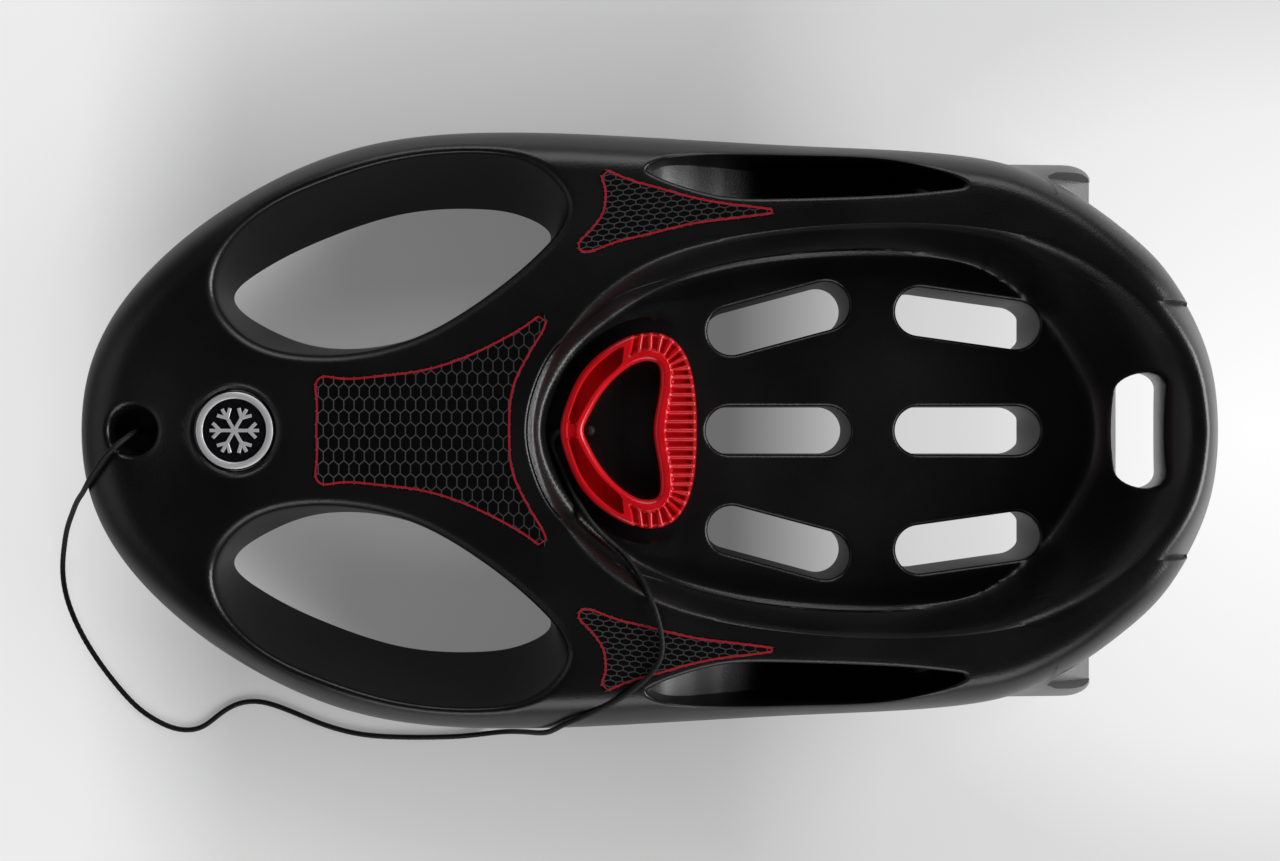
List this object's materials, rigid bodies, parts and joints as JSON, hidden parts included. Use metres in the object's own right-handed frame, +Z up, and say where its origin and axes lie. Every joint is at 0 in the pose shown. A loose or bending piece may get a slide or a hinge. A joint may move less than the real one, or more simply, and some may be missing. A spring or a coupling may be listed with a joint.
{
  "type": "snow bob",
  "caption": "Hollow plastic snow bob with foot openings, a slotted bucket seat, side grip pockets, steel runner strips and a tow handle on a rope.",
  "frame": {"origin": "on the ground, under the middle of the hull", "axes": "+X from the nose to the rear, +Y to the rider's right, +Z up"},
  "size_m": [1.0645, 0.5727, 0.2048],
  "materials": {
    "black_plastic": "fine grain, half gloss",
    "red_plastic": "half gloss",
    "steel": "drawn",
    "silver_plastic": "silver plated",
    "sticker_film": "printed honeycomb with a red edge",
    "cord": "braided"
  },
  "bodies": {
    "sled": {"hull": "black_plastic", "runner_right": "steel", "runner_left": "steel", "runner_screw_right_1": "steel", "runner_screw_right_2": "steel", "runner_screw_right_3": "steel", "runner_screw_left_1": "steel", "runner_screw_left_2": "steel", "runner_screw_left_3": "steel", "badge_base": "black_plastic", "badge_ring": "silver_plastic", "badge_figure": "silver_plastic", "front_sticker": "sticker_film", "side_sticker_right": "sticker_film", "side_sticker_left": "sticker_film", "tow_rope": "cord", "rope_nose_knot": "cord"},
    "handle": {"tow_handle": "red_plastic", "rope_handle_knot": "cord"}
  },
  "joints": [
    {"name": "tow_handle_lift", "type": "slide", "parent": "sled", "child": "handle", "axis": [0, 0, 1], "range_m": [0, 0.08], "deforming": ["tow_rope"]}
  ]
}
